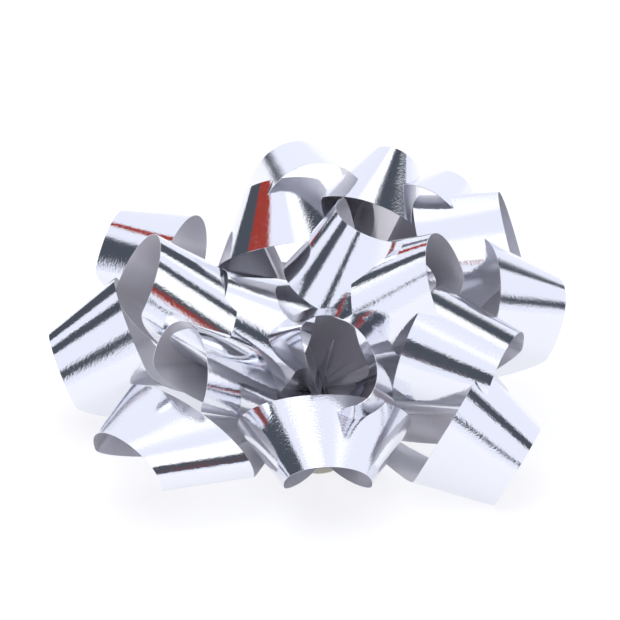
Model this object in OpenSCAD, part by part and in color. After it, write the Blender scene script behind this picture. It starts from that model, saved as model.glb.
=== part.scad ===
// Star gift bow: looped metallised film ribbon held by one staple on a card with a peel-off adhesive pad.
// Millimetres. The pin axis (centre of the staple) is Z. The liner's underside is z = 0. Front is -Y.

/* [Ribbon] */
// Width of the film ribbon
ribbon_width = 19; // [12:0.5:26]
// Thickness of the film as modelled
film_thickness = 0.08; // [0.06:0.01:0.2]
// Free space between two films in the stack
film_gap = 0.03; // [0.02:0.01:0.1]
// Distance from the pin to the outer edge of a lower loop
lower_reach = 54; // [38:1:64]
// Distance from the pin to the outer edge of a middle loop
middle_reach = 55; // [36:1:62]
// Distance from the pin to the outer edge of an upper loop
upper_reach = 53; // [34:1:60]
// Distance from the pin to the outer edge of the crown loop
crown_reach = 50; // [32:1:56]
// Half angle of the cone that each loop wraps round
cone_angle = 20; // [14:1:24]

/* [Tiers] */
// Direction of each lower loop, degrees from +X
lower_turns = [-87, -38, 18, 66, 116, 167, -139];
// Direction of each middle loop
middle_turns = [-22, 24, 61, 102, 154, -150, -84];
// Direction of each upper loop
upper_turns = [2, 60, 110, 152, -164, -58];
// Direction of the crown loop
crown_turns = [-14];
// Lowest and highest slope a lower loop may fill, degrees
lower_band = [0, 19];
// Slopes a middle loop may fill
middle_band = [20, 43];
// Slopes an upper loop may fill
upper_band = [44, 66];
// Slopes the crown loop may fill
crown_band = [67, 112];
// Free angle between two neighbouring loops
side_gap = 1.0; // [0.5:0.1:4]

/* [Base] */
// Diameter of the backing card
card_diameter = 26; // [20:0.5:34]
// Thickness of the backing card
card_thickness = 0.5; // [0.3:0.05:1]
// Diameter of the foam adhesive pad
pad_diameter = 24; // [18:0.5:32]
// Thickness of the foam adhesive pad
pad_thickness = 1; // [0.6:0.1:2]
// Diameter of the paper liner's round
liner_diameter = 27; // [20:0.5:36]
// Thickness of the paper liner
liner_thickness = 0.1; // [0.08:0.01:0.3]
// How far the pull tab stands out of the round
tab_length = 7; // [4:0.5:12]
// Width of the pull tab
tab_width = 9; // [6:0.5:14]

/* [Staple] */
// Length of the staple's crown
staple_span = 8; // [6:0.5:12]
// Diameter of the staple's wire
wire_diameter = 0.6; // [0.4:0.05:0.9]
// Length of each clinched end
clinch_length = 3; // [2:0.25:3.5]

/* [Smoothness] */
// Sections along one loop
loop_sections = 36; // [24:4:60]
// Strips across the ribbon
cross_sections = 3; // [2:1:6]

/* [Hidden] */
$fn = 64;
pitch = film_thickness + film_gap;
flat_radius = ribbon_width * 0.45;
hold_radius = ribbon_width * 0.63;
free_radius = ribbon_width * 0.9;
pad_top = liner_thickness + pad_thickness;
card_top = pad_top + card_thickness;
lower_first = 0;
middle_first = len(lower_turns);
upper_first = middle_first + len(middle_turns);
crown_first = upper_first + len(upper_turns);
loop_total = crown_first + len(crown_turns);
stack_base = card_top + film_gap + film_thickness / 2;
stack_top = stack_base + 2 * loop_total * pitch;

// Smooth step from 0 at a to 1 at b.
function ramp(x, a, b) =
  let (u = min(max((x - a) / (b - a), 0), 1))
  u * u * (3 - 2 * u);

// Value held softly between -limit and limit.
function held(value, limit) = value / pow(1 + pow(abs(value / limit), 6), 1 / 6);

// Angle from turn a to turn b, between 0 and 360.
function turn_from(a, b) = (b - a) - 360 * floor((b - a) / 360);

// Angle from one loop to its nearest neighbour in the same tier.
function nearest(turns, i) =
  len(turns) < 2
    ? 180
    : min([
        for (j = [0 : len(turns) - 1])
          if (j != i) min(turn_from(turns[i], turns[j]), turn_from(turns[j], turns[i]))
      ]);

// Point of the ribbon before it is placed: s along the strip, v across it, 0 at the middle.
function cone_point(s, v, reach) =
  let (
    half_turn = 180 * sin(cone_angle),
    apex = (reach - ribbon_width / 2 * cos(2 * cone_angle))
      / (1 - cos(half_turn) * cos(2 * cone_angle)),
    centre = apex * cos(half_turn),
    span = apex * sin(half_turn),
    along = s * span,
    r = sqrt(pow(centre + v, 2) + along * along),
    f = atan2(along, centre + v) / sin(cone_angle)
  )
  [
    apex + r * (-pow(cos(cone_angle), 2) + pow(sin(cone_angle), 2) * cos(f)),
    r * sin(cone_angle) * sin(f),
    r * sin(cone_angle) * cos(cone_angle) * (1 + cos(f))
  ];

// The same point bent up to its tier, kept inside its own sector and slope band, in its own layer.
function loop_point(s, v, reach, height, half_sector, band, layer) =
  let (
    q = cone_point(s, v, reach),
    out = sqrt(q[0] * q[0] + q[1] * q[1]),
    kept = ramp(out, flat_radius, hold_radius),
    free = ramp(out, hold_radius, free_radius),
    side = atan2(q[1], q[0]),
    held_side = side * (1 - kept) + held(side, half_sector) * kept,
    mid_slope = (band[0] + band[1]) / 2,
    half_slope = (band[1] - band[0]) / 2,
    run = max(out - hold_radius, 0),
    slope = atan2(q[2] * height, max(run, 0.001)),
    raise = mid_slope + held(slope - half_slope, half_slope),
    long = sqrt(run * run + pow(q[2] * height, 2)),
    x = min(out, hold_radius) + run * (1 - free) + long * cos(raise) * free,
    z = long * sin(raise) * free,
    over = pitch * ramp(s, -0.35, 0.35)
  )
  [x * cos(held_side), x * sin(held_side), stack_base + layer * pitch + over + z];

// One ribbon loop as a closed film of even thickness.
module film_loop(reach, height, turns, i, band, first) {
  half_sector = min(nearest(turns, i) / 2 - side_gap, 40);
  layer = 2 * (first + i);
  n = loop_sections;
  m = cross_sections;
  step = 0.004;
  middle = [
    for (a = [0 : n], b = [0 : m])
      let (
        s = -1 + 2 * a / n,
        v = ribbon_width * (b / m - 0.5),
        here = loop_point(s, v, reach, height, half_sector, band, layer),
        ahead = loop_point(s + step, v, reach, height, half_sector, band, layer),
        beside = loop_point(s, v + 0.05, reach, height, half_sector, band, layer),
        n0 = cross(ahead - here, beside - here)
      )
      [here, n0 / norm(n0) * film_thickness / 2]
  ];
  w = m + 1;
  count = (n + 1) * w;
  points = concat([for (p = middle) p[0] + p[1]], [for (p = middle) p[0] - p[1]]);
  top_faces = [
    for (a = [0 : n - 1], b = [0 : m - 1], k = [0, 1])
      let (c = a * w + b)
      k == 0 ? [c, c + 1, c + w + 1] : [c, c + w + 1, c + w]
  ];
  low_faces = [for (f = top_faces) [f[2] + count, f[1] + count, f[0] + count]];
  rim = concat(
    [for (b = [0 : m - 1]) [b, b + 1]],
    [for (a = [0 : n - 1]) [a * w + m, (a + 1) * w + m]],
    [for (b = [0 : m - 1]) [n * w + m - b, n * w + m - b - 1]],
    [for (a = [0 : n - 1]) [(n - a) * w, (n - a - 1) * w]]
  );
  rim_faces = [
    for (e = rim, k = [0, 1])
      k == 0 ? [e[1], e[0], e[0] + count] : [e[1], e[0] + count, e[1] + count]
  ];
  rotate([0, 0, turns[i]])
    color("silver")
      polyhedron(points = points, faces = concat(top_faces, low_faces, rim_faces), convexity = 10);
}

module lower_loop(i) film_loop(lower_reach, 0.5, lower_turns, i, lower_band, lower_first);
module middle_loop(i) film_loop(middle_reach, 0.7, middle_turns, i, middle_band, middle_first);
module upper_loop(i) film_loop(upper_reach, 0.8, upper_turns, i, upper_band, upper_first);
module crown_loop(i) film_loop(crown_reach, 0.9, crown_turns, i, crown_band, crown_first);

// Wire bent to a flat crown with two legs through the stack and two ends clinched under the card.
module staple() {
  high = stack_top + wire_diameter / 2;
  low = pad_top - wire_diameter / 2;
  half = staple_span / 2;
  color("gainsboro") {
    translate([-half, 0, high])
      rotate([0, 90, 0])
        cylinder(d = wire_diameter, h = staple_span, $fn = 24);
    for (side = [-1, 1]) {
      translate([side * half, 0, low])
        cylinder(d = wire_diameter, h = high - low, $fn = 24);
      translate([side * half, 0, high])
        sphere(d = wire_diameter, $fn = 24);
      translate([side * half, 0, low])
        sphere(d = wire_diameter, $fn = 24);
      translate([side * half, 0, low])
        rotate([0, -side * 90, 0])
          cylinder(d = wire_diameter, h = clinch_length, $fn = 24);
    }
  }
}

module backing_card() {
  color("white")
    translate([0, 0, pad_top])
      cylinder(d = card_diameter, h = card_thickness);
}

module adhesive_pad() {
  color("whitesmoke")
    translate([0, 0, liner_thickness])
      cylinder(d = pad_diameter, h = pad_thickness);
}

module release_liner() {
  color("ivory")
    linear_extrude(liner_thickness) {
      circle(d = liner_diameter);
      translate([-tab_width / 2, -liner_diameter / 2 - tab_length + tab_width / 2])
        square([tab_width, liner_diameter / 2 + tab_length - tab_width / 2]);
      translate([0, -liner_diameter / 2 - tab_length + tab_width / 2])
        circle(d = tab_width);
    }
}

lower_loop(0);  // lower_loop_1
lower_loop(1);  // lower_loop_2
lower_loop(2);  // lower_loop_3
lower_loop(3);  // lower_loop_4
lower_loop(4);  // lower_loop_5
lower_loop(5);  // lower_loop_6
lower_loop(6);  // lower_loop_7
middle_loop(0);  // middle_loop_1
middle_loop(1);  // middle_loop_2
middle_loop(2);  // middle_loop_3
middle_loop(3);  // middle_loop_4
middle_loop(4);  // middle_loop_5
middle_loop(5);  // middle_loop_6
middle_loop(6);  // middle_loop_7
upper_loop(0);  // upper_loop_1
upper_loop(1);  // upper_loop_2
upper_loop(2);  // upper_loop_3
upper_loop(3);  // upper_loop_4
upper_loop(4);  // upper_loop_5
upper_loop(5);  // upper_loop_6
crown_loop(0);
staple();
backing_card();
adhesive_pad();
release_liner();
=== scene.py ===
import math

import bpy
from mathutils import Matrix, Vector


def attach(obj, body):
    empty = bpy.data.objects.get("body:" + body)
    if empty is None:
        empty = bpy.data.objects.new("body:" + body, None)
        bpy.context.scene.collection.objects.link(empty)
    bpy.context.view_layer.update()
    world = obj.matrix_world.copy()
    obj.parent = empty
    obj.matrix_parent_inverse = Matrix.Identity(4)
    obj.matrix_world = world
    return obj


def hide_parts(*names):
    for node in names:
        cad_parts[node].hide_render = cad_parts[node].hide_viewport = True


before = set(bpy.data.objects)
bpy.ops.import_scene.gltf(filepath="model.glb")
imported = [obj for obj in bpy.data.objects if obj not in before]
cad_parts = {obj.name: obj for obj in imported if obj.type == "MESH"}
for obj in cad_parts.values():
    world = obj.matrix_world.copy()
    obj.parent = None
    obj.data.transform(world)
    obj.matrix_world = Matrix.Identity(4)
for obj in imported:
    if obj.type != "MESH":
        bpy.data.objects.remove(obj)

bpy.context.view_layer.update()
scene = bpy.context.scene
mm = 0.001


def linear(channel):
    return channel / 12.92 if channel <= 0.04045 else ((channel + 0.055) / 1.055) ** 2.4


def hexColour(code):
    return tuple(linear(int(code[i:i + 2], 16) / 255) for i in (1, 3, 5)) + (1.0,)


# Adds one node, sets its properties and fills or links its inputs.
def addNode(tree, kind, inputs=None, **settings):
    node = tree.nodes.new(kind)
    for name, value in settings.items():
        setattr(node, name, value)
    for key, value in (inputs or {}).items():
        socket = node.inputs[key]
        if isinstance(value, bpy.types.NodeSocket):
            tree.links.new(value, socket)
        else:
            socket.default_value = value
    return node


def addInput(tree, name, kind, value=None):
    socket = tree.interface.new_socket(name, in_out="INPUT", socket_type=kind)
    if value is not None:
        socket.default_value = value


# A number inside a node tree, so that a shape's rule reads as arithmetic.
class Formula:
    def __init__(self, tree, socket):
        self.tree = tree
        self.socket = socket

    def use(self, operation, *others):
        node = self.tree.nodes.new("ShaderNodeMath")
        node.operation = operation
        for i, value in enumerate((self,) + others):
            if isinstance(value, Formula):
                self.tree.links.new(value.socket, node.inputs[i])
            else:
                node.inputs[i].default_value = value
        return Formula(self.tree, node.outputs[0])

    def __add__(self, other):
        return self.use("ADD", other)

    def __sub__(self, other):
        return self.use("SUBTRACT", other)

    def __mul__(self, other):
        return self.use("MULTIPLY", other)

    def __truediv__(self, other):
        return self.use("DIVIDE", other)

    __radd__ = __add__
    __rmul__ = __mul__

    def __rsub__(self, other):
        return (self * -1) + other

    def sin(self):
        return self.use("SINE")

    def cos(self):
        return self.use("COSINE")

    def atan2(self, other):
        return self.use("ARCTAN2", other)

    def limit(self, low):
        return self.use("MAXIMUM", low)

    def lower(self, high):
        return self.use("MINIMUM", high)


def hypot(a, b):
    return (a * a + b * b).use("SQRT")


# Smooth step from 0 at low to 1 at high.
def ramp(value, low, high):
    u = ((value - low) / (high - low)).limit(0.0).lower(1.0)
    return u * u * (3 - 2 * u)


def mix(a, b, share):
    return a + (b - a) * share


film = {
    "outer": "#E9EBF2",
    "outerRoughness": 0.055,
    "inner": "#EFEEF3",
    "innerShade": "#E0DFE5",
    "innerMetal": 0.5,
    "innerRoughness": 0.3,
    "grainMm": 0.45,
    "grainDepthMm": 0.02,
    "waveMm": 9.0,
    "waveDepthMm": 0.05,
}


def filmOuter():
    material = bpy.data.materials.new("metallisedFilmMirrorSide")
    material.use_nodes = True
    tree = material.node_tree
    tree.nodes.clear()
    place = addNode(tree, "ShaderNodeTexCoord").outputs["Object"]
    grain = addNode(tree, "ShaderNodeTexNoise", {
        "Vector": place, "Scale": 1000 / film["grainMm"], "Detail": 2.0, "Roughness": 0.6})
    wave = addNode(tree, "ShaderNodeTexNoise", {
        "Vector": place, "Scale": 1000 / film["waveMm"], "Detail": 1.0, "Roughness": 0.4})
    fine = addNode(tree, "ShaderNodeBump", {
        "Height": grain.outputs["Fac"], "Distance": film["grainDepthMm"] / 1000, "Strength": 1.0})
    bump = addNode(tree, "ShaderNodeBump", {
        "Height": wave.outputs["Fac"], "Distance": film["waveDepthMm"] / 1000, "Strength": 1.0,
        "Normal": fine.outputs["Normal"]})
    rough = addNode(tree, "ShaderNodeMapRange", {
        "Value": grain.outputs["Fac"], "To Min": film["outerRoughness"] * 0.6,
        "To Max": film["outerRoughness"] * 1.5})
    shader = addNode(tree, "ShaderNodeBsdfPrincipled", {
        "Base Color": hexColour(film["outer"]), "Metallic": 1.0,
        "Roughness": rough.outputs["Result"], "Normal": bump.outputs["Normal"]})
    addNode(tree, "ShaderNodeOutputMaterial", {"Surface": shader.outputs["BSDF"]})
    return material


def filmInner():
    material = bpy.data.materials.new("metallisedFilmSatinSide")
    material.use_nodes = True
    tree = material.node_tree
    tree.nodes.clear()
    place = addNode(tree, "ShaderNodeTexCoord").outputs["Object"]
    grain = addNode(tree, "ShaderNodeTexNoise", {
        "Vector": place, "Scale": 1000 / film["grainMm"], "Detail": 2.0, "Roughness": 0.6})
    tone = addNode(tree, "ShaderNodeMix", {
        "Factor": grain.outputs["Fac"], "A": hexColour(film["inner"]),
        "B": hexColour(film["innerShade"])}, data_type="RGBA")
    bump = addNode(tree, "ShaderNodeBump", {
        "Height": grain.outputs["Fac"], "Distance": film["grainDepthMm"] / 1000, "Strength": 0.6})
    shader = addNode(tree, "ShaderNodeBsdfPrincipled", {
        "Base Color": tone.outputs["Result"], "Metallic": film["innerMetal"],
        "Roughness": film["innerRoughness"], "Normal": bump.outputs["Normal"]})
    addNode(tree, "ShaderNodeOutputMaterial", {"Surface": shader.outputs["BSDF"]})
    return material


mirrorSide = filmOuter()
satinSide = filmInner()

# Lengths in mm, angles in radians. leaveRing and reachPin are shares of half the strip's length.
ribbon = {
    "width": 19.0,
    "thickness": 0.08,
    "pitch": 0.11,  # from one film to the next in the stack
    "leaveRing": 0.5,
    "reachPin": 0.97,
    "spread": 12.0,  # how far each end reaches beside the pin
    "windBias": 0.2,  # how much faster the strip turns near the middle of the ring
    "crossOver": 0.35,  # share over which one end climbs past the other
    "stackBase": 1.67,
    "clearOfTable": 0.5,
    "cardEdge": (14.0, 22.0),  # the lowest height passes from the stack's to the table's here
    "liftSoft": 1.0,
    "sections": 120,
    "across": 14,
    "rimAngle": 0.7,
    "weld": 0.001,
}

# Each loop's mouth: its place (turn, out, up), the way it faces (facing, tilt), its half height and half
# width, the same at the wide end, and how deep and how far aslant the ring runs. Degrees and mm.
# Most of these values come from a fit of this same loop shape and not from the frame.
loops = {
    "lower_loop_1": dict(turn=-87.4, out=42.0, up=10.8, facing=-88.0, tilt=-24.1,
        tall=5.8, broad=8.4, tallEnd=9.7, broadEnd=16.8, depth=16.8, shift=-3.9),
    "lower_loop_2": dict(turn=-35.1, out=47.4, up=5.8, facing=-18.0, tilt=-26.0,
        tall=9.0, broad=9.2, tallEnd=14.8, broadEnd=13.5, depth=15.8, shift=0.3),
    "lower_loop_3": dict(turn=6.4, out=45.1, up=19.5, facing=15.1, tilt=-19.9,
        tall=11.0, broad=8.6, tallEnd=11.5, broadEnd=13.8, depth=16.8, shift=3.0),
    "lower_loop_4": dict(turn=66.0, out=38.0, up=8.0, facing=66.0, tilt=-20.0,
        tall=9.5, broad=9.0, tallEnd=11.0, broadEnd=15.0, depth=17.0, shift=0.0),
    "lower_loop_5": dict(turn=120.0, out=38.0, up=8.0, facing=120.0, tilt=-20.0,
        tall=9.5, broad=9.0, tallEnd=11.0, broadEnd=15.0, depth=17.0, shift=0.0),
    "lower_loop_6": dict(turn=-179.5, out=49.5, up=9.0, facing=-173.0, tilt=-21.6,
        tall=11.5, broad=9.0, tallEnd=14.8, broadEnd=12.5, depth=16.5, shift=1.8),
    "lower_loop_7": dict(turn=-134.1, out=52.3, up=12.3, facing=-135.3, tilt=-14.7,
        tall=6.9, broad=9.5, tallEnd=8.8, broadEnd=17.9, depth=15.7, shift=-3.9),
    "middle_loop_1": dict(turn=-29.7, out=41.7, up=23.0, facing=-23.3, tilt=-9.6,
        tall=7.6, broad=9.7, tallEnd=13.0, broadEnd=13.3, depth=17.8, shift=-1.6),
    "middle_loop_2": dict(turn=15.0, out=41.0, up=33.0, facing=-2.8, tilt=19.9,
        tall=13.0, broad=6.7, tallEnd=15.0, broadEnd=13.4, depth=16.3, shift=2.0),
    "middle_loop_3": dict(turn=51.0, out=39.3, up=31.3, facing=69.2, tilt=-6.0,
        tall=10.4, broad=7.9, tallEnd=12.5, broadEnd=12.6, depth=17.5, shift=0.1),
    "middle_loop_4": dict(turn=98.6, out=29.0, up=36.8, facing=104.0, tilt=-12.1,
        tall=11.4, broad=10.2, tallEnd=12.2, broadEnd=11.8, depth=17.6, shift=-1.3),
    "middle_loop_5": dict(turn=150.3, out=49.2, up=23.7, facing=159.0, tilt=6.0,
        tall=11.0, broad=7.9, tallEnd=12.5, broadEnd=13.6, depth=15.5, shift=1.5),
    "middle_loop_6": dict(turn=-137.9, out=36.0, up=24.6, facing=-141.2, tilt=11.2,
        tall=11.1, broad=8.4, tallEnd=8.8, broadEnd=11.1, depth=17.0, shift=-4.9),
    "middle_loop_7": dict(turn=-84.0, out=31.6, up=31.8, facing=-91.6, tilt=36.9,
        tall=7.1, broad=9.4, tallEnd=16.1, broadEnd=14.2, depth=17.5, shift=-2.8),
    "upper_loop_1": dict(turn=-25.1, out=28.1, up=36.9, facing=-20.1, tilt=19.1,
        tall=11.8, broad=8.3, tallEnd=14.5, broadEnd=13.5, depth=15.7, shift=-4.0),
    "upper_loop_2": dict(turn=62.3, out=33.7, up=42.7, facing=66.2, tilt=34.5,
        tall=8.3, broad=5.4, tallEnd=11.9, broadEnd=12.5, depth=16.6, shift=3.6),
    "upper_loop_3": dict(turn=106.5, out=24.4, up=40.6, facing=103.4, tilt=50.3,
        tall=11.5, broad=8.3, tallEnd=17.7, broadEnd=15.1, depth=15.4, shift=4.0),
    "upper_loop_4": dict(turn=-168.9, out=22.8, up=28.3, facing=-171.2, tilt=31.5,
        tall=8.8, broad=8.2, tallEnd=12.6, broadEnd=13.5, depth=17.9, shift=0.4),
    "upper_loop_5": dict(turn=-171.5, out=36.8, up=32.9, facing=-168.7, tilt=28.6,
        tall=12.0, broad=10.1, tallEnd=13.5, broadEnd=14.0, depth=17.5, shift=-3.2),
    "upper_loop_6": dict(turn=-50.0, out=14.0, up=12.0, facing=-50.0, tilt=40.0,
        tall=7.0, broad=7.0, tallEnd=9.0, broadEnd=9.0, depth=16.0, shift=0.0),
    "crown_loop": dict(turn=-8.6, out=12.1, up=47.0, facing=4.4, tilt=72.0,
        tall=9.5, broad=8.8, tallEnd=14.5, broadEnd=14.5, depth=16.9, shift=-1.0),
}


def vectorNode(tree, operation, *values):
    node = tree.nodes.new("ShaderNodeVectorMath")
    node.operation = operation
    slots = (node.inputs[0], node.inputs["Scale"] if operation == "SCALE" else node.inputs[1])
    for slot, given in zip(slots, values):
        socket = given.socket if isinstance(given, Formula) else given
        if isinstance(socket, bpy.types.NodeSocket):
            tree.links.new(socket, slot)
        else:
            slot.default_value = socket
    return node.outputs["Vector"]


def total(tree, start, *pairs):
    for vector, amount in pairs:
        start = vectorNode(tree, "ADD", start, vectorNode(tree, "SCALE", vector, amount))
    return start


# One loop: a strip wound round an open mouth, its two ends brought down and pinned flat.
def ringTree():
    tree = bpy.data.node_groups.new("ribbonLoop", "GeometryNodeTree")
    tree.interface.new_socket("Geometry", in_out="OUTPUT", socket_type="NodeSocketGeometry")
    vectors = ("Mouth", "Facing", "Top", "Side", "Outward", "Sideways")
    numbers = ("Tall", "Broad", "Tall end", "Broad end", "Depth", "Shift", "Level")
    for name in vectors:
        addInput(tree, name, "NodeSocketVector")
    for name in numbers:
        addInput(tree, name, "NodeSocketFloat", 1.0)
    addInput(tree, "Sections", "NodeSocketInt", ribbon["sections"])
    addInput(tree, "Across", "NodeSocketInt", ribbon["across"])
    addInput(tree, "Outer", "NodeSocketMaterial")
    addInput(tree, "Inner", "NodeSocketMaterial")
    given = tree.nodes.new("NodeGroupInput").outputs
    value = {name: Formula(tree, given[name]) for name in numbers}

    grid = addNode(tree, "GeometryNodeMeshGrid", {
        "Size X": 2.0, "Size Y": 1.0, "Vertices X": given["Sections"], "Vertices Y": given["Across"]})
    spot = addNode(tree, "ShaderNodeSeparateXYZ", {
        "Vector": addNode(tree, "GeometryNodeInputPosition").outputs[0]})
    s = Formula(tree, spot.outputs["X"])
    v = Formula(tree, spot.outputs["Y"]) + 0.5
    size = s.use("ABSOLUTE")

    # The open ring, from its narrow mouth back to its wide end.
    angle = s * (size * -ribbon["windBias"] + (1 + ribbon["windBias"])) * math.pi
    tall = mix(value["Tall"], value["Tall end"], v)
    broad = mix(value["Broad"], value["Broad end"], v)
    ring = total(
        tree, given["Mouth"], (given["Facing"], v * value["Depth"] * -1.0),
        (given["Top"], v * value["Shift"] + tall * angle.cos()),
        (given["Side"], broad * angle.sin()))

    # The pinned patch both ends come back to.
    level = value["Level"] + ramp(s, -ribbon["crossOver"], ribbon["crossOver"]) * ribbon["pitch"]
    pin = total(
        tree, (0.0, 0.0, 0.0),
        (given["Outward"], (v * -1.0 + 0.5) * ribbon["width"]),
        (given["Sideways"], (size * -1.0 + 1.0) * s.use("SIGN") * ribbon["spread"]),
        ((0.0, 0.0, 1.0), level))
    share = ramp(size, ribbon["leaveRing"], ribbon["reachPin"])
    line = total(tree, ring, (vectorNode(tree, "SUBTRACT", pin, ring), share))

    # Never lower than the card, or the table outside it.
    place = addNode(tree, "ShaderNodeSeparateXYZ", {"Vector": line})
    x, y, z = (Formula(tree, place.outputs[axis]) for axis in "XYZ")
    outside = ramp(hypot(x, y), *ribbon["cardEdge"])
    ground = mix(value["Level"], value["Level"] * 0 + ribbon["clearOfTable"], outside)
    z = z.use("SMOOTH_MAX", ground, ribbon["liftSoft"])
    metres = addNode(tree, "ShaderNodeCombineXYZ", {
        "X": (x * mm).socket, "Y": (y * mm).socket, "Z": (z * mm).socket})
    sheet = addNode(tree, "GeometryNodeSetPosition", {
        "Geometry": grid.outputs["Mesh"], "Position": metres.outputs[0]})

    inner = addNode(tree, "GeometryNodeFlipFaces", {"Mesh": sheet.outputs[0]})
    outer = addNode(tree, "GeometryNodeExtrudeMesh", {
        "Mesh": sheet.outputs[0], "Offset Scale": ribbon["thickness"] * mm, "Individual": False},
        mode="FACES")
    parts = tree.nodes.new("GeometryNodeJoinGeometry")
    for geometry, side in ((inner.outputs[0], "Inner"), (outer.outputs[0], "Outer")):
        painted = addNode(tree, "GeometryNodeSetMaterial", {"Geometry": geometry, "Material": given[side]})
        tree.links.new(painted.outputs[0], parts.inputs[0])
    whole = addNode(tree, "GeometryNodeMergeByDistance", {
        "Geometry": parts.outputs[0], "Distance": ribbon["weld"] * mm})
    smooth = addNode(tree, "GeometryNodeSetShadeSmooth", {"Geometry": whole.outputs[0]})
    edge = addNode(tree, "GeometryNodeInputMeshEdgeAngle").outputs["Unsigned Angle"]
    rim = Formula(tree, edge).use("GREATER_THAN", ribbon["rimAngle"])
    crisp = addNode(tree, "GeometryNodeSetShadeSmooth", {
        "Geometry": smooth.outputs[0], "Selection": rim.socket, "Shade Smooth": False}, domain="EDGE")
    real = addNode(tree, "GeometryNodeRealizeInstances", {"Geometry": crisp.outputs[0]})
    addNode(tree, "NodeGroupOutput", {"Geometry": real.outputs[0]})
    return tree


def direction(heading, climb=0.0):
    heading, climb = math.radians(heading), math.radians(climb)
    level = math.cos(climb)
    return Vector((math.cos(heading) * level, math.sin(heading) * level, math.sin(climb)))


def makeLoop(tree, name, order):
    shape = loops[name]
    level = ribbon["stackBase"] + 2 * order * ribbon["pitch"]
    mouth = direction(shape["turn"]) * shape["out"] + Vector((0, 0, shape["up"]))
    facing = direction(shape["facing"], shape["tilt"])
    away = mouth - Vector((0, 0, level))
    top = (away - facing * away.dot(facing)).normalized()
    values = {
        "Mouth": mouth, "Facing": facing, "Top": top, "Side": top.cross(facing),
        "Outward": direction(shape["turn"]), "Sideways": direction(shape["turn"] - 90),
        "Tall": shape["tall"], "Broad": shape["broad"], "Tall end": shape["tallEnd"],
        "Broad end": shape["broadEnd"], "Depth": shape["depth"], "Shift": shape["shift"],
        "Level": level,
        "Sections": ribbon["sections"], "Across": ribbon["across"],
        "Outer": mirrorSide, "Inner": satinSide,
    }
    holder = bpy.data.objects.new(name + "_source", bpy.data.meshes.new(name + "_source"))
    scene.collection.objects.link(holder)
    modifier = holder.modifiers.new("loop", "NODES")
    modifier.node_group = tree
    for item in tree.interface.items_tree:
        if item.item_type == "SOCKET" and item.in_out == "INPUT":
            convert = {"NodeSocketFloat": float, "NodeSocketVector": tuple}.get(item.socket_type)
            wanted = values[item.name]
            modifier[item.identifier] = convert(wanted) if convert else wanted
    depsgraph = bpy.context.evaluated_depsgraph_get()
    mesh = bpy.data.meshes.new_from_object(holder.evaluated_get(depsgraph), depsgraph=depsgraph)
    holder.modifiers.remove(modifier)
    bpy.data.objects.remove(holder)
    obj = bpy.data.objects.new(name.replace("_loop", "_ribbon"), mesh)
    mesh.name = obj.name
    scene.collection.objects.link(obj)
    return obj


tree = ringTree()
for order, name in enumerate(loops):
    piece = makeLoop(tree, name, order)
    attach(piece, "bow")
    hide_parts(name)
    print("made", piece.name, len(piece.data.polygons), "faces")


def plain(name, colour, roughness, scaleMm, depthMm, metallic=0.0):
    material = bpy.data.materials.new(name)
    material.use_nodes = True
    tree = material.node_tree
    tree.nodes.clear()
    place = addNode(tree, "ShaderNodeTexCoord").outputs["Object"]
    grain = addNode(tree, "ShaderNodeTexNoise", {
        "Vector": place, "Scale": 1000 / scaleMm, "Detail": 4.0})
    tone = addNode(tree, "ShaderNodeMix", {
        "Factor": grain.outputs["Fac"], "A": hexColour(colour[0]), "B": hexColour(colour[1])},
        data_type="RGBA")
    bump = addNode(tree, "ShaderNodeBump", {
        "Height": grain.outputs["Fac"], "Distance": depthMm / 1000, "Strength": 1.0})
    shader = addNode(tree, "ShaderNodeBsdfPrincipled", {
        "Base Color": tone.outputs["Result"], "Metallic": metallic, "Roughness": roughness,
        "Normal": bump.outputs["Normal"]})
    addNode(tree, "ShaderNodeOutputMaterial", {"Surface": shader.outputs["BSDF"]})
    return material


baseMaterials = {
    "staple": plain("galvanisedWire", ("#B9B9BC", "#A4A4A8"), 0.32, 0.6, 0.004, 1.0),
    "backing_card": plain("uncoatedWhiteBoard", ("#EDEBE4", "#E2DFD6"), 0.85, 0.5, 0.02),
    "adhesive_pad": plain("closedCellFoam", ("#F2F1EC", "#E4E3DC"), 0.7, 0.35, 0.05),
    "release_liner": plain("glazedSiliconePaper", ("#F4EFDD", "#EAE4CF"), 0.38, 0.8, 0.01),
}
for node, material in baseMaterials.items():
    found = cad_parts[node]
    for obj in found if isinstance(found, (list, tuple)) else [found]:
        obj.data.materials.clear()
        obj.data.materials.append(material)

view = {
    "elevation": 29.0,  # degrees
    "distance": 0.65,
    "target": (0.0, 0.0, 0.020),
    "sensor": 36.0,  # mm
    "lens": 188.71,  # mm
    "shiftAcross": -0.0129,  # shares of the sensor's width
    "shiftUp": 0.04032,
}


def makeCamera():
    data = bpy.data.cameras.new("camera")
    camera = bpy.data.objects.new("camera", data)
    scene.collection.objects.link(camera)
    tilt = math.radians(view["elevation"])
    target = Vector(view["target"])
    camera.location = target + Vector((0, -math.cos(tilt), math.sin(tilt))) * view["distance"]
    camera.rotation_euler = (math.pi / 2 - tilt, 0, 0)
    data.sensor_width = view["sensor"]
    data.lens = view["lens"]
    data.shift_x = view["shiftAcross"]
    data.shift_y = view["shiftUp"]
    data.clip_start = 0.01
    data.clip_end = 20
    data.dof.use_dof = False
    scene.camera = camera


table = {
    "reach": 3.0,
    "colours": ("#A6A6AB", "#A3A3A8"),
    "roughness": 0.9,
    "grainMm": 30,
    "glow": 0.71,
}


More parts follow.
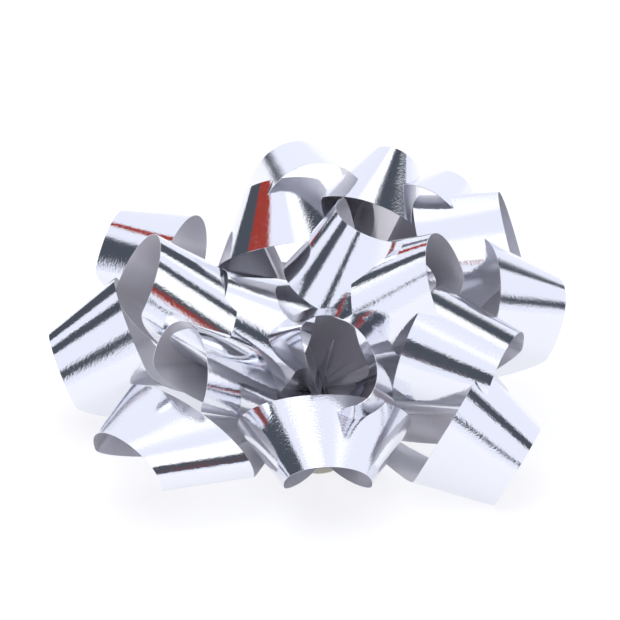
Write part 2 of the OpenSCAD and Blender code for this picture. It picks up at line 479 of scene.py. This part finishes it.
def makeFloor():
    mesh = bpy.data.meshes.new("floor")
    reach = table["reach"]
    mesh.from_pydata(
        [(-reach, -reach, 0), (reach, -reach, 0), (reach, reach, 0), (-reach, reach, 0)], [],
        [(0, 1, 2, 3)])
    floor = bpy.data.objects.new("floor", mesh)
    scene.collection.objects.link(floor)
    pale = plain("paleFloor", table["colours"], table["roughness"], table["grainMm"], 0.0)
    shader = next(n for n in pale.node_tree.nodes if n.type == "BSDF_PRINCIPLED")
    shader.inputs["Emission Color"].default_value = (1, 1, 1, 1)
    shader.inputs["Emission Strength"].default_value = table["glow"]
    floor.data.materials.append(pale)


# Headings run from 0 at the front to + at the right, rises from 0 at the table's level, both in degrees.
# A card is its heading, half width, rise, half height and the width of its soft edge.
studio = {
    "wall": "#E6E8F2",
    "colours": {"softbox": "#FFFFFF", "slate": "#4A4F57", "red": "#9A3A30"},
    "cards": {
        "softbox": ((-60, 28, 58, 16, 4), (50, 30, 50, 18, 4), (180, 60, 50, 20, 6)),
        "slate": ((0, 14, 27, 13, 2), (-92, 10, 25, 24, 3), (84, 8, 30, 22, 3), (-28, 6, 40, 16, 2),
                  (-42, 4, 8, 14, 2), (35, 5, 22, 14, 2), (-142, 14, 10, 16, 4), (140, 10, 35, 16, 4)),
        "red": ((-19, 3.2, 30, 13, 1.2), (27, 3.0, 24, 12, 1.2), (-134, 5, 37, 12, 1.2)),
    },
    "roomStrength": 1.25,
    "backdropStrength": 1.0,
    "lampPower": 3,
    "lampSize": 1.2,
    "lampPlace": (-0.4, -0.3, 1.6),
}


# 1 within halfWidth of centre, falling to 0 over soft.
def band(value, centre, halfWidth, soft):
    return 1 - ramp((value - centre).use("ABSOLUTE"), halfWidth, halfWidth + soft)


def makeWorld():
    world = bpy.data.worlds.new("studio")
    scene.world = world
    world.use_nodes = True
    tree = world.node_tree
    tree.nodes.clear()
    ray = addNode(tree, "ShaderNodeTexCoord").outputs["Generated"]
    part = addNode(tree, "ShaderNodeSeparateXYZ", {"Vector": ray})
    x, y, z = (Formula(tree, part.outputs[i]) for i in range(3))
    heading = x.atan2(y * -1) * math.degrees(1)
    rise = z.atan2(hypot(x, y)) * math.degrees(1)
    colour = hexColour(studio["wall"])
    for name, cards in studio["cards"].items():
        patches = [band(heading, across, halfWidth, soft) * band(rise, up, halfHeight, soft)
                   for across, halfWidth, up, halfHeight, soft in cards]
        share = patches[0]
        for patch in patches[1:]:
            share = share + patch
        colour = addNode(tree, "ShaderNodeMix", {
            "Factor": share.lower(1.0).socket, "A": colour, "B": hexColour(studio["colours"][name])},
            data_type="RGBA").outputs["Result"]
    room = addNode(tree, "ShaderNodeBackground", {
        "Color": colour, "Strength": studio["roomStrength"]})
    backdrop = addNode(tree, "ShaderNodeBackground", {
        "Color": (1, 1, 1, 1), "Strength": studio["backdropStrength"]})
    seen = addNode(tree, "ShaderNodeLightPath").outputs["Is Camera Ray"]
    shown = addNode(tree, "ShaderNodeMixShader", {
        0: seen, 1: room.outputs[0], 2: backdrop.outputs[0]})
    addNode(tree, "ShaderNodeOutputWorld", {"Surface": shown.outputs[0]})


def makeLight():
    data = bpy.data.lights.new("softbox", "AREA")
    data.shape = "DISK"
    data.size = studio["lampSize"]
    data.energy = studio["lampPower"]
    lamp = bpy.data.objects.new("softbox", data)
    scene.collection.objects.link(lamp)
    lamp.location = studio["lampPlace"]
    lamp.rotation_euler = (-lamp.location).to_track_quat("-Z", "Y").to_euler()


scene.view_settings.view_transform = "Standard"
makeCamera()
makeFloor()
makeWorld()
makeLight()
print("stage ready")
